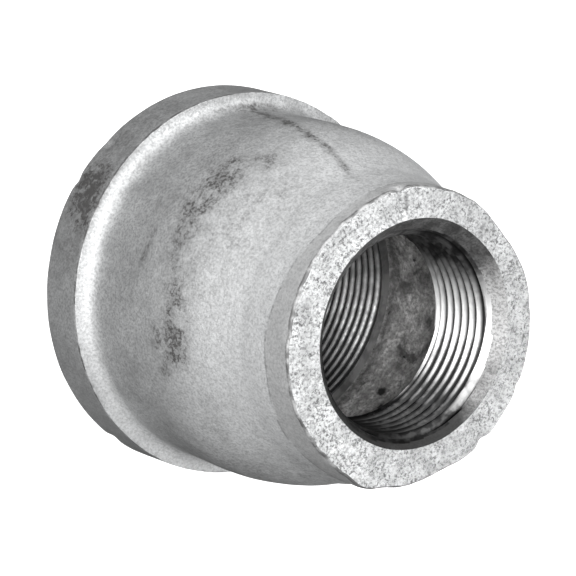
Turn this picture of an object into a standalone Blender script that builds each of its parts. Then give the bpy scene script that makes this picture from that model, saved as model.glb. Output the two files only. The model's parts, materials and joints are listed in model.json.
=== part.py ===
"""Concentric reducer: a galvanised malleable-iron reducing socket, 2 x 1 1/4, with internal pipe threads.

It is one casting, so it is one object. It stands on its large end: the origin is the centre of the
large end's face and +Z runs along the bore to the small end. Metres.
"""

from math import cos, pi, sin

import bmesh
import bpy

MM = 0.001

# The whole fitting
LENGTH = 71.4 * MM
COLUMNS = 60  # facets round the axis

# Outside: a band round the large end, a body that domes in to the neck, a collar round the small end
BAND_RADIUS = 41.3 * MM
BAND_DRAFT = 0.3 * MM
BAND_WIDTH = 12.2 * MM
EDGE_ROUND = 0.9 * MM
BODY_RADIUS = 37.5 * MM
SHOULDER_FILLET = 2.9 * MM
DOME_Z = 28.0 * MM  # where the dome leaves the body's cylinder
DOME_SKEW = 1.4  # over 1 keeps the dome full before it drops
NECK_Z = 63.0 * MM
NECK_RADIUS = 30.3 * MM
COLLAR_RADIUS = 29.6 * MM
COLLAR_ROUND = 1.0 * MM

# Threads: 55 degree pipe thread with 11 turns to the inch, right-handed
PITCH = 25.4 / 11 * MM
SMALL_MAJOR_RADIUS = 41.910 / 2 * MM
SMALL_MINOR_RADIUS = 38.952 / 2 * MM
LARGE_MAJOR_RADIUS = 59.614 / 2 * MM
LARGE_MINOR_RADIUS = 56.656 / 2 * MM
SMALL_THREAD_DEPTH = 18.6 * MM
LARGE_THREAD_DEPTH = 23.0 * MM
CHAMFER = 1.75 * MM  # radial width of the countersink outside the thread's major radius
CHAMFER_SLOPE = 1.0  # a 45 degree countersink
SMALL_PHASE = 0.30  # turns by which each helix is rotated about +Z
LARGE_PHASE = 0.28

# Where the thread's crest, flank and root begin, as fractions of one pitch
CREST_START, CREST_END, ROOT_START, ROOT_END = 0.0, 1 / 6, 1 / 2, 2 / 3

# Cast passage between the threads, left rough and a little wider than both of them
PASSAGE_SMALL_RADIUS = 21.4 * MM
PASSAGE_DOME_RADIUS = 31.0 * MM
PASSAGE_LARGE_RADIUS = 30.1 * MM
PASSAGE_DOME_Z = 30.0 * MM
PASSAGE_SKEW = 2.2

ZINC_GREY = (0.56, 0.57, 0.565, 1.0)


def clear_scene():
    for item in list(bpy.data.objects):
        bpy.data.objects.remove(item, do_unlink=True)


def skewed_dome(start, end, skew, steps):
    """Points (radius, z) of an S-shaped curve from start to end, flat at both of them."""
    points = []
    for step in range(steps + 1):
        along = step / steps
        fall = 0.5 * (1.0 - cos(pi * along**skew))
        points.append((start[0] + (end[0] - start[0]) * fall, start[1] + (end[1] - start[1]) * along))
    return points


def arc(centre, radius, start_angle, end_angle, steps):
    """Points (radius, z) of an arc in the plane through the axis."""
    angles = [start_angle + (end_angle - start_angle) * step / steps for step in range(steps + 1)]
    return [(centre[0] + radius * cos(angle), centre[1] + radius * sin(angle)) for angle in angles]


def outside_profile():
    """(radius, z) from the large end's face up to the small end's face."""
    front_radius = BAND_RADIUS - BAND_DRAFT
    fillet_centre = (BODY_RADIUS + SHOULDER_FILLET, BAND_WIDTH + SHOULDER_FILLET)
    round_centre = (COLLAR_RADIUS - COLLAR_ROUND, LENGTH - COLLAR_ROUND)
    return (
        [(BAND_RADIUS - EDGE_ROUND, 0.0)]
        + arc((BAND_RADIUS - EDGE_ROUND, EDGE_ROUND), EDGE_ROUND, -pi / 4, 0, 1)
        + arc((front_radius - EDGE_ROUND, BAND_WIDTH - EDGE_ROUND), EDGE_ROUND, 0, pi / 2, 2)
        + arc(fillet_centre, SHOULDER_FILLET, -pi / 2, -pi, 3)[1:]
        + skewed_dome((BODY_RADIUS, DOME_Z), (NECK_RADIUS, NECK_Z), DOME_SKEW, 7)
        + arc(round_centre, COLLAR_ROUND, 0, pi / 2, 2)
    )


def passage_profile():
    """(radius, z) of the cast bore, from the small thread's inner end down to the large thread's."""
    small_end = (PASSAGE_SMALL_RADIUS, LENGTH - SMALL_THREAD_DEPTH)
    dome = skewed_dome((PASSAGE_DOME_RADIUS, PASSAGE_DOME_Z), small_end, PASSAGE_SKEW, 6)
    return dome[::-1] + [(PASSAGE_LARGE_RADIUS, LARGE_THREAD_DEPTH)]


def ring_point(radius, z, column):
    angle = 2 * pi * column / COLUMNS
    return (radius * cos(angle), radius * sin(angle), z)


def add_turned_wall(bm, profile):
    rows = [[bm.verts.new(ring_point(radius, z, column)) for column in range(COLUMNS)] for radius, z in profile]
    for lower, upper in zip(rows, rows[1:]):
        for column in range(COLUMNS):
            following = (column + 1) % COLUMNS
            bm.faces.new((lower[column], lower[following], upper[following], upper[column]))


def add_thread(bm, low, high, major, minor, mouth_is_low, inner_radius, phase):
    """The threaded wall between two planes across the axis.

    Each row of points climbs one pitch per turn, so the seam joins a row to the one a whole turn on.
    Points beyond either plane are moved onto it, where remove_doubles merges them later.
    """
    turn = (CREST_START, CREST_END, ROOT_START, ROOT_END)
    turn_radii = (minor, minor, major, major)
    mouth_z, inner_z = (low, high) if mouth_is_low else (high, low)
    turns = int((high - low) / PITCH) + 3
    snap = 0.04 * PITCH

    def wall_point(row, column):
        z = low + PITCH * (row // len(turn) - 1 + turn[row % len(turn)] + column / COLUMNS - phase)
        z = low if z < low + snap else high if z > high - snap else z
        radius = turn_radii[row % len(turn)]
        if z == mouth_z:
            radius = major + CHAMFER
        elif z == inner_z:
            radius = inner_radius
        else:
            radius = max(radius, major + CHAMFER - abs(z - mouth_z) / CHAMFER_SLOPE)
        return ring_point(radius, z, column)

    count = turns * len(turn)
    grid = [[bm.verts.new(wall_point(row, column)) for column in range(COLUMNS)] for row in range(count)]
    for column in range(COLUMNS):
        following = (column + 1) % COLUMNS
        shift = len(turn) if following == 0 else 0
        for row in range(count - 1 - shift):
            bm.faces.new(
                (
                    grid[row][column],
                    grid[row + shift][following],
                    grid[row + shift + 1][following],
                    grid[row + 1][column],
                )
            )


def zinc_material():
    material = bpy.data.materials.new("galvanised_iron")
    material.use_nodes = True
    shader = material.node_tree.nodes["Principled BSDF"]
    shader.inputs["Base Color"].default_value = ZINC_GREY
    shader.inputs["Metallic"].default_value = 0.6
    shader.inputs["Roughness"].default_value = 0.55
    return material


def build_casting():
    bm = bmesh.new()
    outside = outside_profile()
    passage = passage_profile()
    small_mouth = (SMALL_MAJOR_RADIUS + CHAMFER, LENGTH)
    large_mouth = (LARGE_MAJOR_RADIUS + CHAMFER, 0.0)
    add_turned_wall(bm, [large_mouth] + outside + [small_mouth])
    add_thread(
        bm, LENGTH - SMALL_THREAD_DEPTH, LENGTH, SMALL_MAJOR_RADIUS, SMALL_MINOR_RADIUS,
        mouth_is_low=False, inner_radius=PASSAGE_SMALL_RADIUS, phase=SMALL_PHASE,
    )  # fmt: skip
    add_turned_wall(bm, passage)
    add_thread(
        bm, 0.0, LARGE_THREAD_DEPTH, LARGE_MAJOR_RADIUS, LARGE_MINOR_RADIUS,
        mouth_is_low=True, inner_radius=PASSAGE_LARGE_RADIUS, phase=LARGE_PHASE,
    )  # fmt: skip
    bmesh.ops.remove_doubles(bm, verts=bm.verts, dist=0.001 * MM)
    bmesh.ops.recalc_face_normals(bm, faces=bm.faces)
    mesh = bpy.data.meshes.new("reducer_casting")
    bm.to_mesh(mesh)
    bm.free()
    mesh.shade_smooth()
    mesh.set_sharp_from_angle(angle=0.6)
    mesh.materials.append(zinc_material())
    casting = bpy.data.objects.new("reducer_casting", mesh)
    bpy.context.collection.objects.link(casting)
    return casting


clear_scene()
build_casting()
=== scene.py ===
"""The finished look of the concentric reducer: one galvanised malleable-iron casting on a pale floor.

The casting is built again at full resolution, over the same dimensions as the CAD node it stands for,
with the marks of its making: an uneven as-cast skin, a parting line, handling dents, cut threads and a
countersink that sits a little off the thread's axis. Metres, +Z from the large end to the small end.
"""

import json
from math import atan2, cos, degrees, exp, hypot, pi, radians, sin

import bmesh
import bpy
import numpy as np
from mathutils import Matrix, Vector, noise

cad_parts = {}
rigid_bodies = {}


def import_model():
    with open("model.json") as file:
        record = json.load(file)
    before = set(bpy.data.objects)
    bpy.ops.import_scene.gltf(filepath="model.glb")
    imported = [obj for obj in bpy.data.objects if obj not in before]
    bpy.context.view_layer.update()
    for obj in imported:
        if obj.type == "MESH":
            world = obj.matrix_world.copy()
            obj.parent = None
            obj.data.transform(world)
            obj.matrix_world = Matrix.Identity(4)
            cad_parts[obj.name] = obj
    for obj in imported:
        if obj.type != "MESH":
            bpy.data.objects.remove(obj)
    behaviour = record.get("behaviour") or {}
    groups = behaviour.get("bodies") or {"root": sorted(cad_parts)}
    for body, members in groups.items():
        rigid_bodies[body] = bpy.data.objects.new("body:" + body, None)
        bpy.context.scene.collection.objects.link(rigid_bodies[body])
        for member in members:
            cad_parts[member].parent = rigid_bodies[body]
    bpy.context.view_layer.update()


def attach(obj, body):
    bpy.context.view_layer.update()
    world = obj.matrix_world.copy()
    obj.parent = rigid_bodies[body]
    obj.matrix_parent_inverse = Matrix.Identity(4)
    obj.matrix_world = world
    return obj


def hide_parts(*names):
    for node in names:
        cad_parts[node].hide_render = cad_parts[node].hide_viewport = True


MM = 0.001

# Size, as in the CAD part
LENGTH = 71.4 * MM
BAND_RADIUS = 41.3 * MM
BAND_DRAFT = 0.3 * MM
BAND_WIDTH = 12.2 * MM
EDGE_ROUND = 0.9 * MM
BODY_RADIUS = 37.5 * MM
SHOULDER_FILLET = 2.9 * MM
DOME_Z = 28.0 * MM
DOME_SKEW = 1.4
NECK_Z = 63.0 * MM
NECK_RADIUS = 30.3 * MM
COLLAR_RADIUS = 29.6 * MM
COLLAR_ROUND = 0.8 * MM
FRONT_ROUND = 0.4 * MM  # of the band's front edge
STRAIGHT_Z = 58.5 * MM  # from here the dome runs straight to the collar's strip
STRIP_Z = 64.5 * MM
STRIP_RADIUS = 30.05 * MM
PITCH = 25.4 / 11 * MM
SMALL_MAJOR_RADIUS = 41.910 / 2 * MM
SMALL_MINOR_RADIUS = 38.952 / 2 * MM
LARGE_MAJOR_RADIUS = 59.614 / 2 * MM
LARGE_MINOR_RADIUS = 56.656 / 2 * MM
SMALL_THREAD_DEPTH = 18.6 * MM
LARGE_THREAD_DEPTH = 23.0 * MM
CHAMFER = 1.75 * MM
SMALL_PHASE = 0.30
LARGE_PHASE = 0.28
PASSAGE_SMALL_RADIUS = 21.4 * MM
PASSAGE_DOME_RADIUS = 31.0 * MM
PASSAGE_LARGE_RADIUS = 30.1 * MM
PASSAGE_DOME_Z = 30.0 * MM
PASSAGE_SKEW = 2.2

# Resolution
COLUMNS = 300
ROW_SPACING = 0.85 * MM

# The rounded thread form over one pitch: (fraction of the pitch, fraction of the thread's depth)
THREAD_FORM = (
    (0, 0.06), (1 / 12, 0.0), (1 / 6, 0.06), (1 / 3, 0.5),
    (1 / 2, 0.94), (7 / 12, 1.0), (2 / 3, 0.94), (5 / 6, 0.5),
)  # fmt: skip

RUN_OUT = 1.3 * MM  # the last of each thread, where the groove grows shallow

# The small countersink was cut off the thread's axis, towards this angle
COUNTERSINK_OFFSET = 0.85 * MM
COUNTERSINK_ANGLE = radians(58)

TOUCH = 0.01 * MM  # how near a point has to be to count as lying on a plane or a cylinder
COUNTERSINK_REACH = 1.2 * MM  # how far past its nominal rim the small countersink may reach

# Unevenness of the as-cast skin: (depth, size of one lump)
SKIN_LUMPS = ((0.30 * MM, 17 * MM), (0.12 * MM, 6 * MM), (0.05 * MM, 2.2 * MM))
CHIP_DEPTH, CHIP_SIZE = 0.42 * MM, 2.4 * MM  # of the ragged edges
FACE_FADE = 1.5 * MM  # the unevenness of an end face dies out over this distance from its mouth
PARTING_ANGLE = radians(99)
PARTING_HEIGHT, PARTING_WIDTH = 0.24 * MM, 0.7 * MM
PARTING_BREAKS = 5 * MM  # the length over which the ridge comes and goes

# Places where the collar's edge is knocked flat or stands proud: (angle, half width, height)
COLLAR_DENTS = (
    (46, 15, -0.95), (-104, 9, 1.05), (-68, 10, -0.75), (-138, 13, -0.4), (101, 12, 0.45),
)  # fmt: skip
# Low swellings of the skin: (angle, z, size, height)
SWELLINGS = ((-100, 59, 7, 1.1), (-96, 50, 7, 0.5))
# Small knocks in the band: (angle, z, size, depth)
BAND_NOTCHES = (
    (137, 2.2, 1.3, 0.9), (151, 1.0, 1.2, 0.5), (-122, 1.5, 1.5, 0.6),
    (20, 6.0, 1.6, 0.4), (-60, 2.0, 1.4, 0.5),
)  # fmt: skip
# Radial creases in the small end's face: (angle, half width in degrees, depth)
FACE_CREASES = ((103, 2.0, 0.7), (-97, 2.5, 0.5), (-46, 2.6, 0.6), (-20, 2.0, 0.25))
# The dark lines in those creases: (angle, strength), and their half width in degrees
DARK_CREASES = ((101, 1.0), (-98.5, 0.5), (-48, 0.5))
DARK_CREASE_WIDTH = 1.1

# Dark stains in the zinc, with one painted shade among them, each a line between two places: (angle, z) to
# (angle, z), half width, strength.
# Angles are in degrees and the rest in millimetres.
SKIN_STAINS_AND_SHADE = (
    # the ring of dark smears round the middle of the body
    ((-172, 37), (-160, 38), 2.4, 0.8), ((-178, 42), (-166, 42), 3.2, 1.4), ((173, 41), (-178, 43), 3.0, 1.0),
    ((174, 40), (160, 40), 3.0, 0.65), ((160, 39), (146, 38), 3.6, 1.1), ((146, 38), (131, 39), 4.6, 1.3),
    ((131, 39), (122, 44), 4.0, 0.75),
    # broad dull patches on either side of it, and lower down; the long one from (-117, 26) to (-112, 58) is
    # painted shade on the underside
    ((150, 32), (120, 32), 4.5, 0.35), ((168, 47), (132, 52), 9.0, 0.42), ((160, 52), (150, 50), 3.5, 0.35),
    ((-117, 26), (-112, 58), 9.0, 0.42), ((-150, 48), (-135, 46), 2.2, 0.35),
    # scratches
    ((168, 29), (158, 30), 0.7, 0.8), ((-139, 28), (-123, 36), 0.5, 0.7),
    # the parting line, and the dirt where it starts
    ((94, 13), (100, 27), 1.5, 1.5), ((100, 27), (103, 42), 1.2, 1.6), ((103, 42), (103, 50), 1.0, 1.2),
    ((103, 50), (108, 61), 0.9, 0.9), ((97, 14), (103, 24), 4.0, 0.35), ((104, 13.4), (88, 13.6), 2.4, 0.75),
)  # fmt: skip
BAND_STAINS = (((158, 7), (151, 6), 5.0, 2.2), ((168, 6), (120, 6), 7.0, 0.5))
# Dirt and pores in the bore, and a painted shadow where the large thread ends
BORE_STAINS_AND_SHADOW = (
    # dirt on the wall of the cast passage
    ((38, 48), (20, 40), 3.0, 1.8), ((14, 37), (9, 33), 1.8, 0.6), ((-7, 37), (-7.1, 37), 1.4, 0.9),
    ((-13, 40), (-20, 37), 0.9, 0.9), ((-20, 31), (-25, 32), 1.8, 0.5), ((60, 30), (75, 40), 3.0, 0.5),
    # two pores
    ((-38.5, 31.6), (-38.6, 31.6), 1.0, 2.5), ((-45, 34.7), (-45.1, 34.7), 0.8, 2.0),
    # the shaded line where the large thread ends
    ((70, 24.0), (0, 24.0), 1.3, 0.7), ((0, 24.0), (-70, 24.0), 1.3, 0.7),
)  # fmt: skip

# Where the body's skin ends and the collar's smoother strip, painted darker as shade, begins: (angle, z in
# mm)
STRIP_EDGE = (
    (-180, 64.3), (-163, 64.5), (-141, 63.4), (0, 65.5), (100, 67.5),
    (138, 67.9), (150, 66.5), (164, 65.6), (180, 64.3),
)  # fmt: skip

SHOULDER_NO_HIGHLIGHT_SIDE = 82  # the angle at which the shoulder gets no painted highlight
FACE_LIT_SIDE, FACE_SIDE_SHADE = 180, 0.24  # painted shade darkens the small end's face away from this angle
THREAD_BRIGHT_SIDE = -4  # the angle at which the small thread is left bright; painted shade and dirt grow away from it
# painted shade and dirt over the whole large thread
LARGE_THREAD_SHADE_AND_GRIME = 0.5

# Camera: a long lens, close to looking straight at the small end's side
CAMERA_AZIMUTH, CAMERA_ELEVATION, CAMERA_ROLL = -103.94, 53.75, -107.1
CAMERA_DISTANCE = 508.8 * MM
CAMERA_AIM = Vector((-3.3, 3.0, 32.8)) * MM
LENS = 156.25

# Softboxes, each the same size and as far away: (name, azimuth, elevation, power in watts)
SOFTBOXES = (
    ("key", 173, 46, 7.2), ("low_fill", -61, 29, 1.1), ("left_fill", -95, 25, 4.0),
    ("front", -104, 54, 4.8), ("back_fill", 66, 13, 3.4),
)  # fmt: skip
SOFTBOX_SIZE = 0.35
SOFTBOX_DISTANCE = 0.8


def clear_scene():
    for item in list(bpy.data.objects):
        bpy.data.objects.remove(item, do_unlink=True)


# ---------------------------------------------------------------- profiles, as (radius, z)


def subdivide(points, spacing=ROW_SPACING):
    """The same outline with a point at least every `spacing`."""
    finer = [points[0]]
    for start, end in zip(points, points[1:]):
        steps = max(1, round(hypot(end[0] - start[0], end[1] - start[1]) / spacing))
        for step in range(1, steps + 1):
            share = step / steps
            finer.append((start[0] + (end[0] - start[0]) * share, start[1] + (end[1] - start[1]) * share))
    return finer


def skewed_dome(start, end, skew, steps=40):
    """An S-shaped curve from start to end, flat at both of them."""
    points = []
    for step in range(steps + 1):
        along = step / steps
        fall = 0.5 * (1.0 - cos(pi * along**skew))
        points.append((start[0] + (end[0] - start[0]) * fall, start[1] + (end[1] - start[1]) * along))
    return points


def arc(centre, radius, start_angle, end_angle, steps):
    angles = [start_angle + (end_angle - start_angle) * step / steps for step in range(steps + 1)]
    return [(centre[0] + radius * cos(angle), centre[1] + radius * sin(angle)) for angle in angles]


def outside_profile():
    front_radius = BAND_RADIUS - BAND_DRAFT
    fillet_centre = (BODY_RADIUS + SHOULDER_FILLET, BAND_WIDTH + SHOULDER_FILLET)
    round_centre = (COLLAR_RADIUS - COLLAR_ROUND, LENGTH - COLLAR_ROUND)
    dome = skewed_dome((BODY_RADIUS, DOME_Z), (NECK_RADIUS, NECK_Z), DOME_SKEW)
    return (
        arc((BAND_RADIUS - EDGE_ROUND, EDGE_ROUND), EDGE_ROUND, -pi / 2, 0, 4)
        + arc((front_radius - FRONT_ROUND, BAND_WIDTH - FRONT_ROUND), FRONT_ROUND, 0, pi / 2, 3)
        + arc(fillet_centre, SHOULDER_FILLET, -pi / 2, -pi, 7)[1:]
        + [point for point in dome if point[1] < STRAIGHT_Z]
        + [(STRIP_RADIUS, STRIP_Z)]
        + arc(round_centre, COLLAR_ROUND, 0, pi / 2, 5)
    )


def passage_profile():
    small_end = (PASSAGE_SMALL_RADIUS, LENGTH - SMALL_THREAD_DEPTH)
    dome = skewed_dome((PASSAGE_DOME_RADIUS, PASSAGE_DOME_Z), small_end, PASSAGE_SKEW, 24)
    return dome[::-1] + [(PASSAGE_LARGE_RADIUS, LARGE_THREAD_DEPTH)]


def small_mouth_radius(angle):
    """Radius of the small countersink's rim, which isn't centred on the thread."""
    ragged = 0.12 * MM * noise.noise(Vector((3 * cos(angle), 3 * sin(angle), 5.0)))
    return SMALL_MAJOR_RADIUS + CHAMFER + COUNTERSINK_OFFSET * cos(angle - COUNTERSINK_ANGLE) + ragged


def large_mouth_radius(_angle):
    return LARGE_MAJOR_RADIUS + CHAMFER


# ---------------------------------------------------------------- the walls of the casting


ANGLES = [2 * pi * column / COLUMNS for column in range(COLUMNS)]


class Wall:
    """Collects rings of points and the quads between them."""

    def __init__(self):
        self.points = []
        self.quads = []

    def add_rows(self, radius_and_z, count, seam=0):
        """radius_and_z(row, column) gives a point; crossing the seam moves `seam` rows on."""
        first = len(self.points)
        for row in range(count):
            for column, angle in enumerate(ANGLES):
                radius, z = radius_and_z(row, column)
                self.points.append((radius * cos(angle), radius * sin(angle), z))
        for column in range(COLUMNS):
            following = (column + 1) % COLUMNS
            shift = seam if following == 0 else 0
            for row in range(count - 1 - shift):
                here = first + row * COLUMNS
                there = first + (row + shift) * COLUMNS
                self.quads.append(
                    (here + column, there + following, there + following + COLUMNS, here + column + COLUMNS)
                )

    def add_turned(self, profile):
        self.add_rows(lambda row, _column: profile[row], len(profile))

    def add_face(self, z, rim_radius, mouth_radius):
        """A flat ring from the rim to a mouth whose radius changes with the angle."""
        mouth = [mouth_radius(angle) for angle in ANGLES]
        rows = round((rim_radius - sum(mouth) / COLUMNS) / ROW_SPACING) + 1

        def radius_and_z(row, column):
            return rim_radius + (mouth[column] - rim_radius) * row / (rows - 1), z

        self.add_rows(radius_and_z, rows)

    def add_thread(self, low, high, major, minor, mouth_is_low, mouth_radius, inner_radius, phase):
        """A helical thread between two planes, opened by the countersink at its mouth."""
        mouth = [mouth_radius(angle) for angle in ANGLES]
        mouth_z, inner_z = (low, high) if mouth_is_low else (high, low)
        form = len(THREAD_FORM)
        snap = 0.02 * PITCH

        def radius_and_z(row, column):
            along, depth = THREAD_FORM[row % form]
            z = low + PITCH * (row // form - 1 + along + column / COLUMNS - phase)
            z = low if z < low + snap else high if z > high - snap else z
            if z == mouth_z:
                return mouth[column], z
            if z == inner_z:
                return inner_radius, z
            depth *= share_between(abs(z - inner_z), 0.35 * MM, RUN_OUT)
            return max(minor + (major - minor) * depth, mouth[column] - abs(z - mouth_z)), z

        self.add_rows(radius_and_z, (int((high - low) / PITCH) + 3) * form, seam=form)


def share_between(value, low, high):
    """0 at low, 1 at high and straight in between."""
    return min(1.0, max(0.0, (value - low) / (high - low)))


def angle_between(angle, other_degrees):
    """Degrees from one angle to another, the short way round."""
    return (degrees(angle) - other_degrees + 180) % 360 - 180


def angle_of(point):
    return atan2(point.y, point.x)


def radius_of(point):
    return hypot(point.x, point.y)


def bell(distance, width):
    """1 at no distance, falling smoothly to nothing within about twice the width."""
    return exp(-((distance / width) ** 2))


def distance_over(radius, point, place_angle, place_z):
    """Millimetres over a cylinder from a point to a place given in degrees and millimetres."""
    across = radius / MM * radians(angle_between(angle_of(point), place_angle))
    return hypot(across, point.z / MM - place_z)


def machined(radius, z):
    """True on the threads and countersinks, which were cut after casting."""
    small_rim = SMALL_MAJOR_RADIUS + CHAMFER + COUNTERSINK_REACH
    large_rim = LARGE_MAJOR_RADIUS + CHAMFER + TOUCH
    in_small = z > LENGTH - SMALL_THREAD_DEPTH - TOUCH and radius < small_rim
    in_large = z < LARGE_THREAD_DEPTH + TOUCH and radius < large_rim
    return in_small or in_large


def inside_wall(point):
    """True on the bore's side of the casting, told by a radius that lies within the iron."""
    narrowing_z, narrow_radius = 45 * MM, 28 * MM
    wide_radius = (BODY_RADIUS + PASSAGE_LARGE_RADIUS) / 2
    return radius_of(point) < (wide_radius if point.z < narrowing_z else narrow_radius)


# ---------------------------------------------------------------- what casting and handling did to the shape


def lumps(point):
    """How far the skin lies below its nominal surface here."""
    seed = Vector((1.7, 3.91, 0))
    return sum(height * (0.5 + 0.5 * noise.noise(point / size + seed)) for height, size in SKIN_LUMPS)


def dent(point):
    """How far the collar's edge stands out here, in metres along the radius."""
    radius, z, angle = radius_of(point), point.z, angle_of(point)
    if z < NECK_Z:
        return 0.0
    up_the_collar = share_between(z, NECK_Z, NECK_Z + 6 * MM)
    out_to_the_rim = share_between(radius, 24.5 * MM, 28.5 * MM)
    ragged = 0.3 + 0.7 * share_between(abs(angle_between(angle, THREAD_BRIGHT_SIDE)), 60, 110)
    chips = CHIP_DEPTH * ragged * share_between(z, LENGTH - 2 * MM, LENGTH - 0.5 * MM)
    chips *= noise.noise(point / CHIP_SIZE)
    dents = sum(
        height * MM * bell(angle_between(angle, centre), width) for centre, width, height in COLLAR_DENTS
    )
    return up_the_collar * out_to_the_rim * (chips + dents)


def parting_line(point):
    """Height of the ridge where the mould's halves met, at the two opposite sides of the casting."""
    height = 0.0
    for side in (PARTING_ANGLE, PARTING_ANGLE + pi):
        across = radius_of(point) * radians(angle_between(angle_of(point), degrees(side)))
        broken = 0.5 + 0.5 * noise.noise(Vector((point.z / PARTING_BREAKS, side, 0)))
        height += PARTING_HEIGHT * broken * bell(across, PARTING_WIDTH)
    return height


def skin_depth(point):
    """Depth of the cast surface below nominal, in metres."""
    radius, z, angle = radius_of(point), point.z, angle_of(point)
    depth = lumps(point)
    if z > LENGTH - 1.5 * MM:
        for centre, width, crease in FACE_CREASES:
            depth += crease * MM * bell(angle_between(angle, centre), width)
    on_front_edge = BAND_WIDTH - 1.2 * MM < z < BAND_WIDTH + 0.1 * MM and radius > BAND_RADIUS - 1.0 * MM
    if on_front_edge:
        depth += 0.6 * CHIP_DEPTH * abs(noise.noise(point / CHIP_SIZE))
    for notch_angle, notch_z, size, notch_depth in BAND_NOTCHES:
        distance = distance_over(BAND_RADIUS, point, notch_angle, notch_z)
        if radius > BAND_RADIUS - 1.3 * MM and distance < 3 * size:
            depth += notch_depth * MM * bell(distance, size)
    if BAND_WIDTH < z < LENGTH and not inside_wall(point):
        for swell_angle, swell_z, size, height in SWELLINGS:
            depth -= height * MM * bell(distance_over(NECK_RADIUS, point, swell_angle, swell_z), size)
    if BAND_WIDTH < z < LENGTH - 2 * MM:
        depth -= parting_line(point)
    return depth


def weathering(vertex):
    """How far a point of the cast skin has moved from its nominal place; what is cut doesn't move."""
    point, radius = vertex.co, radius_of(vertex.co)
    rim = 0.0
    if point.z > LENGTH - TOUCH:
        rim = small_mouth_radius(angle_of(point))
    elif point.z < TOUCH:
        rim = LARGE_MAJOR_RADIUS + CHAMFER
    on_end_face = rim > 0.0 and radius > rim + TOUCH
    if machined(radius, point.z) and not on_end_face:
        return Vector()
    fade = share_between(radius - rim, 0.0, FACE_FADE) if rim else 1.0
    outward = Vector((point.x, point.y, 0)) / radius
    return outward * dent(point) * fade - vertex.normal * fade * skin_depth(point)


# ---------------------------------------------------------------- what the materials need to know of a place


def distance_to_line(point, start, end):
    """Millimetres over the skin from a point to the line between two places."""
    across = BODY_RADIUS / MM * radians(1)
    here = Vector((angle_between(angle_of(point), start[0]) * across, point.z / MM - start[1]))
    line = Vector((angle_between(radians(end[0]), start[0]) * across, end[1] - start[1]))
    share = share_between(here.dot(line) / line.length_squared, 0.0, 1.0)
    return (here - line * share).length


def face_stain_and_shade_at(point):
    """Dark lines in the creases across the small end's face, and painted shade on the face away from its lit
    side.
    """
    radius, angle = radius_of(point), angle_of(point)
    from_mouth = share_between(radius, 23.5 * MM, 25 * MM)
    from_rim = share_between(29 * MM - radius, 0.0, 1.5 * MM)
    crease = max(
        strength * bell(angle_between(angle, centre), DARK_CREASE_WIDTH) for centre, strength in DARK_CREASES
    )
    # painted shade on one side of the face
    side_shade = FACE_SIDE_SHADE * share_between(abs(angle_between(angle, FACE_LIT_SIDE)), 50, 90)
    return max(from_mouth * from_rim * crease, side_shade)


def stain_and_shade_at(point):
    """How dark the zinc is painted here, for stains and for painted shade, before the shader breaks it into
    clouds and flecks.
    """
    if point.z > LENGTH - TOUCH:
        return face_stain_and_shade_at(point)
    if inside_wall(point):
        marks = BORE_STAINS_AND_SHADOW if point.z < LENGTH - SMALL_THREAD_DEPTH else ()
    elif point.z < BAND_WIDTH:
        marks = BAND_STAINS
    else:
        marks = SKIN_STAINS_AND_SHADE if BAND_WIDTH + 0.5 * MM < point.z < NECK_Z + 3 * MM else ()
    amounts = [0.0]
    for start, end, width, strength in marks:
        amounts.append(strength * bell(distance_to_line(point, start, end), width))
    return max(amounts)


def groove_shade_and_dirt_at(point):
    """How dark a thread's groove is painted here, as painted shade with some dirt in the roots: 0 on a crest,
    1 at a root, more towards -Y.
    """
    radius, z = radius_of(point), point.z
    if not machined(radius, z):
        return 0.0
    if z > LENGTH / 2:
        minor, major = SMALL_MINOR_RADIUS, SMALL_MAJOR_RADIUS
        from_mouth, from_inner_end = LENGTH - z, z - LENGTH + SMALL_THREAD_DEPTH
    else:
        minor, major = LARGE_MINOR_RADIUS, LARGE_MAJOR_RADIUS
        from_mouth, from_inner_end = z, LARGE_THREAD_DEPTH - z
    # No painted shade where the countersink opens the first turn, and at the very end
    ends = share_between(from_mouth, 2.4 * MM, 4.2 * MM) * share_between(from_inner_end, 0.3 * MM, 0.6 * MM)
    # the painted shade in the roots reaches wider towards -Y
    wider_on_minus_y_side = 1 + 0.8 * share_between(-angle_between(angle_of(point), THREAD_BRIGHT_SIDE), 0, 45)
    return ends * wider_on_minus_y_side * share_between(radius, minor, major)


def shade_and_grime_at(point):
    """Painted shade, with cutting oil and dirt, round most of the small thread and its countersink, left off
    one bright side; the large thread gets an even amount.
    """
    if point.z < LENGTH - SMALL_THREAD_DEPTH:
        return LARGE_THREAD_SHADE_AND_GRIME
    side = angle_between(angle_of(point), THREAD_BRIGHT_SIDE)
    if side > 0:
        return 0.75 * share_between(side, 24, 48)
    thin_film, thick_dirt = share_between(-side, -8, 14), share_between(-side, 27, 50)
    return 0.42 * thin_film + 0.58 * thick_dirt


def shoulder_highlight_at(point):
    """How strong the painted highlight is here on the shoulder behind the band, stronger towards -Y."""
    start, end = BAND_WIDTH - 0.6 * MM, BAND_WIDTH + 3.2 * MM
    if not start < point.z < end or radius_of(point) < BODY_RADIUS - 0.5 * MM:
        return 0.0
    white = share_between(abs(angle_between(angle_of(point), SHOULDER_NO_HIGHLIGHT_SIDE)), 26, 62)
    white *= 0.25 + 0.75 * share_between(-point.y, -24 * MM, 6 * MM)
    return white * share_between(end - point.z, 0.0, 2.6 * MM)


def strip_edge_at(point):
    """The height at which the collar's smoother strip begins on this side."""
    angles, heights = zip(*STRIP_EDGE)
    return float(np.interp(degrees(angle_of(point)), angles, heights)) * MM


# ---------------------------------------------------------------- the casting

# The order of its materials
ZINC_SKIN, END_FACE, CUT_METAL, CAST_BORE, COUNTERSINK = range(5)


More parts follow.
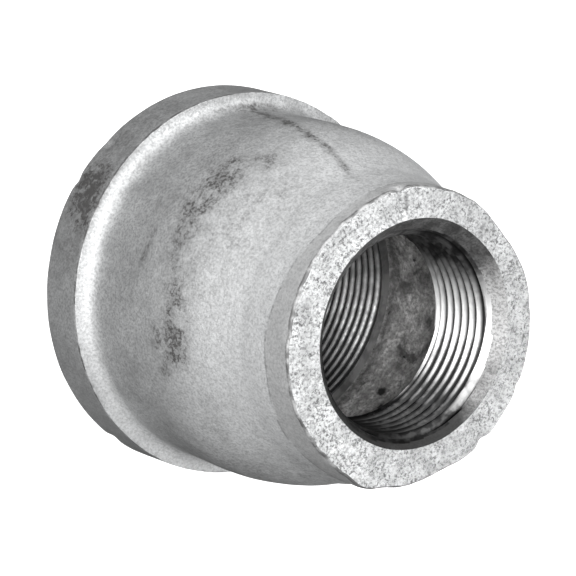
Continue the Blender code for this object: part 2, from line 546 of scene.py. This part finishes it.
def nominal_walls():
    """The casting as drawn, before any unevenness."""
    wall = Wall()
    outside = subdivide(outside_profile())
    wall.add_turned(outside)
    wall.add_face(LENGTH, outside[-1][0], small_mouth_radius)
    wall.add_face(0.0, outside[0][0], large_mouth_radius)
    wall.add_thread(
        LENGTH - SMALL_THREAD_DEPTH, LENGTH, SMALL_MAJOR_RADIUS, SMALL_MINOR_RADIUS,
        False, small_mouth_radius, PASSAGE_SMALL_RADIUS, SMALL_PHASE,
    )  # fmt: skip
    wall.add_turned(subdivide(passage_profile(), 1.0 * MM))
    wall.add_thread(
        0.0, LARGE_THREAD_DEPTH, LARGE_MAJOR_RADIUS, LARGE_MINOR_RADIUS,
        True, large_mouth_radius, PASSAGE_LARGE_RADIUS, LARGE_PHASE,
    )  # fmt: skip
    return wall


def material_of(face):
    """Which of the casting's materials this face has."""
    centre = face.calc_center_median()
    radius, z = radius_of(centre), centre.z
    if abs(face.normal.z) > 0.9 and (z > LENGTH - 1.2 * MM or z < 0.6 * MM):
        return END_FACE
    if machined(radius, z):
        on_cone = z > LENGTH / 2 and radius > SMALL_MAJOR_RADIUS + 2 * TOUCH
        return COUNTERSINK if on_cone else CUT_METAL
    return CAST_BORE if z < LENGTH - SMALL_THREAD_DEPTH and inside_wall(centre) else ZINC_SKIN


def build_casting(materials):
    wall = nominal_walls()
    mesh = bpy.data.meshes.new("galvanised_casting")
    mesh.from_pydata(wall.points, [], wall.quads)
    bm = bmesh.new()
    bm.from_mesh(mesh)
    bmesh.ops.remove_doubles(bm, verts=bm.verts, dist=0.002 * MM)
    bmesh.ops.recalc_face_normals(bm, faces=bm.faces)
    bm.normal_update()
    for name, value_at in (
        ("stain_and_shade", stain_and_shade_at), ("groove", groove_shade_and_dirt_at), ("shade_and_grime", shade_and_grime_at),
        ("shoulder", shoulder_highlight_at), ("strip_z", strip_edge_at),
    ):  # fmt: skip
        layer = bm.verts.layers.float.new(name)
        for vertex in bm.verts:
            vertex[layer] = value_at(vertex.co)
    moves = [weathering(vertex) for vertex in bm.verts]
    for vertex, move in zip(bm.verts, moves):
        vertex.co += move
    for face in bm.faces:
        face.smooth = True
        face.material_index = material_of(face)
    bm.to_mesh(mesh)
    bm.free()
    mesh.set_sharp_from_angle(angle=radians(38))
    for index in (ZINC_SKIN, END_FACE, CUT_METAL, CAST_BORE, COUNTERSINK):
        mesh.materials.append(materials[index])
    casting = bpy.data.objects.new("galvanised_casting", mesh)
    bpy.context.collection.objects.link(casting)
    return casting


# ---------------------------------------------------------------- materials


class Nodes:
    """Short names for building a material's node tree."""

    def __init__(self, name):
        self.material = bpy.data.materials.new(name)
        self.material.use_nodes = True
        self.tree = self.material.node_tree
        self.shader = self.tree.nodes["Principled BSDF"]
        self.place = self.tree.nodes.new("ShaderNodeTexCoord").outputs["Object"]

    def noise(self, size, detail=3.0, roughness=0.55, distortion=0.0):
        """Noise from 0 to 1 whose lumps are `size` metres across."""
        node = self.tree.nodes.new("ShaderNodeTexNoise")
        node.inputs["Scale"].default_value = 1.0 / size
        node.inputs["Detail"].default_value = detail
        node.inputs["Roughness"].default_value = roughness
        node.inputs["Distortion"].default_value = distortion
        self.tree.links.new(self.place, node.inputs["Vector"])
        return node.outputs["Fac"]

    def height(self):
        node = self.tree.nodes.new("ShaderNodeSeparateXYZ")
        self.tree.links.new(self.place, node.inputs["Vector"])
        return node.outputs["Z"]

    def attribute(self, name):
        node = self.tree.nodes.new("ShaderNodeAttribute")
        node.attribute_name = name
        return node.outputs["Fac"]

    def _set(self, socket, value):
        if isinstance(value, (int, float, tuple)):
            socket.default_value = value
        else:
            self.tree.links.new(value, socket)

    def math(self, operation, first, second=0.0, clamp=False):
        node = self.tree.nodes.new("ShaderNodeMath")
        node.operation = operation
        node.use_clamp = clamp
        self._set(node.inputs[0], first)
        self._set(node.inputs[1], second)
        return node.outputs[0]

    def remap(self, value, low, high, to_low=0.0, to_high=1.0):
        node = self.tree.nodes.new("ShaderNodeMapRange")
        node.interpolation_type = "SMOOTHSTEP"
        for name, number in (("From Min", low), ("From Max", high), ("To Min", to_low), ("To Max", to_high)):
            node.inputs[name].default_value = number
        self._set(node.inputs["Value"], value)
        return node.outputs["Result"]

    def blend(self, share, first, second):
        node = self.tree.nodes.new("ShaderNodeMix")
        node.data_type = "RGBA"
        self._set(node.inputs["Factor"], share)
        self._set(node.inputs["A"], first)
        self._set(node.inputs["B"], second)
        return node.outputs["Result"]

    def bump(self, height, distance, strength=1.0, under=None):
        node = self.tree.nodes.new("ShaderNodeBump")
        node.inputs["Strength"].default_value = strength
        node.inputs["Distance"].default_value = distance
        self._set(node.inputs["Height"], height)
        if under is not None:
            self.tree.links.new(under, node.inputs["Normal"])
        return node.outputs["Normal"]

    def finish(self, colour, roughness, normal, metallic):
        self._set(self.shader.inputs["Base Color"], colour)
        self._set(self.shader.inputs["Roughness"], roughness)
        self._set(self.shader.inputs["Normal"], normal)
        self.shader.inputs["Metallic"].default_value = metallic
        return self.material


def grey(value, tint=0.0):
    """A grey, a little cool for a positive tint and warm for a negative one."""
    return (value * (1 - tint), value, value * (1 + tint * 0.6), 1.0)


def clean_zinc(nodes, grain, height, past_strip):
    """Soft blotches and fine grain, paler towards the small end, with a painted highlight on the shoulder and
    painted shade on the collar's strip.
    """
    blotch = nodes.remap(nodes.noise(13 * MM, 4, 0.6), 0.32, 0.68)
    patch = nodes.remap(nodes.noise(4 * MM, 5, 0.65, 0.6), 0.35, 0.7)
    base = nodes.blend(blotch, grey(0.29, 0.012), grey(0.44, 0.012))
    base = nodes.blend(nodes.math("MULTIPLY", patch, 0.42), base, grey(0.54, 0.012))
    base = nodes.blend(nodes.remap(grain, 0.3, 0.62, 0.5, 0.0), base, grey(0.16, 0.01))
    to_small_end = nodes.remap(height, 24 * MM, 58 * MM, 0.0, 0.66)
    base = nodes.blend(to_small_end, base, grey(0.66, 0.012))
    band = nodes.remap(height, BAND_WIDTH - 1.0 * MM, BAND_WIDTH - 0.6 * MM, 0.3, 0.0)
    base = nodes.blend(band, base, grey(0.20, 0.01))
    # painted highlight on the shoulder
    shoulder = nodes.math("MULTIPLY", nodes.attribute("shoulder"), 0.6)
    base = nodes.blend(shoulder, base, grey(0.74, 0.01))
    # painted shade on the collar's strip, which faces sideways
    strip = nodes.remap(past_strip, 0.0, 0.5 * MM, 0.0, 0.55)
    base = nodes.blend(strip, base, grey(0.34, 0.0))
    return nodes.blend(nodes.remap(grain, 0.3, 0.62, 0.42, 0.0), base, grey(0.18, 0.01))


def dark_edges(nodes, height, past_strip):
    """How dark the broken lines are: painted shade in the crease at the strip's start and on the rounding at
    the small end's rim, and a dark line along the band's front edge.
    """
    strip_line = nodes.remap(nodes.math("ABSOLUTE", past_strip), 0.12 * MM, 0.38 * MM, 1.0, 0.0)
    rim = nodes.remap(height, LENGTH - 1.1 * MM, LENGTH - 0.8 * MM)
    band_start = nodes.remap(height, BAND_WIDTH - 1.1 * MM, BAND_WIDTH - 0.85 * MM)
    band_end = nodes.remap(height, BAND_WIDTH - 0.25 * MM, BAND_WIDTH - 0.5 * MM)
    lines = nodes.math("MAXIMUM", nodes.math("MULTIPLY", strip_line, 0.6), rim)
    lines = nodes.math("MAXIMUM", lines, nodes.math("MULTIPLY", band_start, band_end))
    broken = nodes.remap(nodes.noise(3 * MM, 3, 0.6), 0.38, 0.62, 0.15, 0.9)
    return nodes.math("MULTIPLY", lines, broken)


def broken_stain_and_shade(nodes):
    """The attribute of stains and painted shade, broken into soft clouds with dark flecks in them."""
    flecks = nodes.remap(nodes.noise(0.8 * MM, 3, 0.7, 0.3), 0.44, 0.62)
    clouds = nodes.remap(nodes.noise(3.4 * MM, 4, 0.65, 0.3), 0.36, 0.58)
    flecks = nodes.math("MULTIPLY", flecks, clouds)
    soft = nodes.math("ADD", nodes.math("MULTIPLY", clouds, 0.3), 0.16)
    dirt = nodes.math("ADD", nodes.math("MULTIPLY", flecks, 0.72), soft)
    return nodes.math("MULTIPLY", nodes.attribute("stain_and_shade"), dirt, clamp=True)


def zinc_skin():
    """Hot-dip zinc over cast iron, with stains, a painted highlight on the shoulder, and painted shade on the
    collar's strip, along some edges and on the underside.
    """
    nodes = Nodes("zinc_skin")
    grain = nodes.noise(0.55 * MM, 3, 0.7)
    height = nodes.height()
    past_strip = nodes.math("SUBTRACT", height, nodes.attribute("strip_z"))
    base = clean_zinc(nodes, grain, height, past_strip)
    # painted shade along the strip's start and the small end's rim, and the band's dark edge line
    base = nodes.blend(dark_edges(nodes, height, past_strip), base, grey(0.1, 0.0))
    # stains, and painted shade on the underside
    colour = nodes.blend(broken_stain_and_shade(nodes), base, grey(0.085, -0.02))
    rough = nodes.remap(nodes.noise(1.6 * MM, 3), 0.3, 0.7, 0.46, 0.64)
    normal = nodes.bump(nodes.noise(0.5 * MM, 3, 0.65), 0.085 * MM)
    normal = nodes.bump(nodes.noise(2.4 * MM, 3, 0.6), 0.16 * MM, 0.8, normal)
    return nodes.finish(colour, rough, normal, 0.3)


def end_face():
    """The rough end faces, where thick zinc sparkles white, with dark crease lines and painted shade on one
    side.
    """
    nodes = Nodes("end_face_zinc")
    grain = nodes.noise(0.55 * MM, 3, 0.75, 0.4)
    patch = nodes.remap(nodes.noise(4 * MM, 4, 0.65), 0.3, 0.65)
    base = nodes.blend(patch, grey(0.46, 0.012), grey(0.71, 0.012))
    bare = nodes.remap(nodes.noise(2.2 * MM, 4, 0.7, 0.4), 0.42, 0.58, 0.98, 0.6)
    grains = nodes.math("MULTIPLY", nodes.remap(grain, 0.37, 0.58, 1.0, 0.0), bare)
    base = nodes.blend(grains, base, grey(0.12, 0.01))
    # dark crease lines, and painted shade on one side of the small end's face
    colour = nodes.blend(nodes.math("MULTIPLY", nodes.attribute("stain_and_shade"), 0.8), base, grey(0.07, 0.0))
    rough = nodes.remap(nodes.noise(1.2 * MM, 2), 0.3, 0.7, 0.4, 0.6)
    normal = nodes.bump(grain, 0.16 * MM)
    normal = nodes.bump(nodes.noise(2.6 * MM, 2), 0.2 * MM, 0.7, normal)
    return nodes.finish(colour, rough, normal, 0.3)


def cut_metal():
    """Cut threads: bright iron with fine tool marks and a few nicks, darkened by painted shade and dirt."""
    nodes = Nodes("cut_threads")
    nick = nodes.remap(nodes.noise(1.1 * MM, 3, 0.7), 0.7, 0.78)
    smear = nodes.remap(nodes.noise(3.5 * MM, 3, 0.6), 0.3, 0.7)
    base = nodes.blend(smear, grey(0.54), grey(0.68))
    uneven = nodes.remap(smear, 0.0, 1.0, -0.12, 0.12)
    spread = nodes.math("ADD", nodes.attribute("shade_and_grime"), uneven, clamp=True)
    # painted shade and dirt, left off the thread's bright side
    base = nodes.blend(nodes.remap(spread, 0.0, 1.0), base, grey(0.006))
    # painted shade, with some dirt, in the thread roots
    base = nodes.blend(nodes.remap(nodes.attribute("groove"), 0.3, 0.72), base, grey(0.015))
    colour = nodes.blend(nick, base, grey(0.04))
    rough = nodes.remap(nodes.noise(0.8 * MM, 2), 0.3, 0.7, 0.36, 0.5)
    normal = nodes.bump(nodes.noise(0.35 * MM, 3), 0.008 * MM)
    return nodes.finish(colour, rough, normal, 0.9)


def countersink():
    """The cone at the small mouth: cut, then galvanised, so duller than the threads, and darkened by painted
    shade and dirt.
    """
    nodes = Nodes("countersink_zinc")
    grain = nodes.noise(0.5 * MM, 3, 0.7)
    base = nodes.blend(nodes.remap(grain, 0.32, 0.62, 0.8, 0.0), grey(0.42), grey(0.14))
    smear = nodes.noise(3 * MM, 3, 0.6)
    uneven = nodes.remap(smear, 0.3, 0.7, -0.1, 0.1)
    spread = nodes.math("ADD", nodes.attribute("shade_and_grime"), uneven, clamp=True)
    # painted shade and dirt on the cone, left off the thread's bright side
    colour = nodes.blend(nodes.remap(spread, 0.0, 1.0, 0.0, 0.97), base, grey(0.012, -0.02))
    normal = nodes.bump(grain, 0.06 * MM)
    nodes.shader.inputs["Specular IOR Level"].default_value = 0.2
    return nodes.finish(colour, 0.6, normal, 0.2)


def cast_bore():
    """The unmachined passage: dull dark zinc with pores, black patches, and a painted shadow where the large
    thread ends.
    """
    nodes = Nodes("cast_bore")
    blotch = nodes.remap(nodes.noise(6 * MM, 5, 0.7), 0.35, 0.62)
    grain = nodes.noise(0.8 * MM, 3, 0.7)
    pore = nodes.remap(nodes.noise(2.6 * MM, 2, 0.5, 0.5), 0.69, 0.74)
    base = nodes.blend(blotch, grey(0.42, -0.01), grey(0.82, -0.01))
    mottle = nodes.remap(nodes.noise(1.8 * MM, 4, 0.7, 0.5), 0.38, 0.6, 0.6, 0.0)
    base = nodes.blend(mottle, base, grey(0.2, -0.02))
    base = nodes.blend(nodes.remap(grain, 0.3, 0.65, 0.75, 0.0), base, grey(0.14, -0.02))
    patch = nodes.remap(nodes.noise(9 * MM, 4, 0.7, 0.8), 0.56, 0.68, 0.0, 0.75)
    base = nodes.blend(patch, base, grey(0.06, -0.02))
    stain_and_shade = nodes.math("MULTIPLY", nodes.attribute("stain_and_shade"), 0.9, clamp=True)
    # dirt, and painted shadow where the large thread ends
    base = nodes.blend(stain_and_shade, base, grey(0.03, -0.02))
    colour = nodes.blend(pore, base, grey(0.02))
    normal = nodes.bump(grain, 0.1 * MM)
    normal = nodes.bump(nodes.noise(3 * MM, 3), 0.3 * MM, 0.9, normal)
    return nodes.finish(colour, 0.7, normal, 0.25)


# ---------------------------------------------------------------- room, lights, camera


def direction(azimuth, elevation):
    """Unit vector towards a place; azimuth 0 is on -Y and 90 on +X, as in the tools' views."""
    azimuth, elevation = radians(azimuth), radians(elevation)
    return Vector((sin(azimuth) * cos(elevation), -cos(azimuth) * cos(elevation), sin(elevation)))


def add_floor():
    """A pale table whose own glow keeps shadows faint, and which doesn't tint the metal."""
    bpy.ops.mesh.primitive_plane_add(size=8.0, location=(0, 0, -0.05 * MM))
    floor = bpy.context.object
    floor.name = "floor"
    nodes = Nodes("pale_floor")
    nodes.shader.inputs["Base Color"].default_value = (0.55, 0.55, 0.55, 1)
    nodes.shader.inputs["Roughness"].default_value = 0.9
    nodes.shader.inputs["Specular IOR Level"].default_value = 0.0
    nodes.shader.inputs["Emission Color"].default_value = (1, 1, 1, 1)
    nodes.shader.inputs["Emission Strength"].default_value = 0.86
    floor.data.materials.append(nodes.material)
    floor.visible_diffuse = False
    floor.visible_glossy = False


def add_world(seen, lighting):
    """A plain room: white where the camera sees it, dimmer as a light on the metal."""
    world = bpy.data.worlds.new("plain_room")
    bpy.context.scene.world = world
    world.use_nodes = True
    tree = world.node_tree
    background = tree.nodes["Background"]
    path = tree.nodes.new("ShaderNodeLightPath")
    strength = tree.nodes.new("ShaderNodeMapRange")
    strength.inputs["To Min"].default_value = lighting
    strength.inputs["To Max"].default_value = seen
    tree.links.new(path.outputs["Is Camera Ray"], strength.inputs["Value"])
    tree.links.new(strength.outputs["Result"], background.inputs["Strength"])
    background.inputs["Color"].default_value = (1, 1, 1, 1)


def add_softbox(name, azimuth, elevation, power):
    data = bpy.data.lights.new(name, "AREA")
    data.size = SOFTBOX_SIZE
    data.energy = power
    light = bpy.data.objects.new(name, data)
    towards = direction(azimuth, elevation)
    light.location = Vector((0, 0, LENGTH / 2)) + towards * SOFTBOX_DISTANCE
    light.rotation_euler = towards.to_track_quat("Z", "Y").to_euler()
    bpy.context.collection.objects.link(light)


def add_camera():
    data = bpy.data.cameras.new("camera")
    data.lens = LENS
    data.sensor_width = 36.0
    data.clip_start, data.clip_end = 0.02, 20.0
    camera = bpy.data.objects.new("camera", data)
    back = direction(CAMERA_AZIMUTH, CAMERA_ELEVATION)
    turn = back.to_track_quat("Z", "Y").to_matrix() @ Matrix.Rotation(radians(-CAMERA_ROLL), 3, "Z")
    camera.matrix_world = Matrix.Translation(CAMERA_AIM + back * CAMERA_DISTANCE) @ turn.to_4x4()
    bpy.context.collection.objects.link(camera)
    bpy.context.scene.camera = camera


clear_scene()
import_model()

casting = build_casting(
    {
        ZINC_SKIN: zinc_skin(),
        END_FACE: end_face(),
        CUT_METAL: cut_metal(),
        CAST_BORE: cast_bore(),
        COUNTERSINK: countersink(),
    }
)
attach(casting, "root")
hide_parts("reducer_casting")

add_floor()
add_world(seen=0.9, lighting=0.08)
for name, azimuth, elevation, power in SOFTBOXES:
    add_softbox(name, azimuth, elevation, power)
add_camera()
bpy.context.scene.view_settings.view_transform = "Standard"
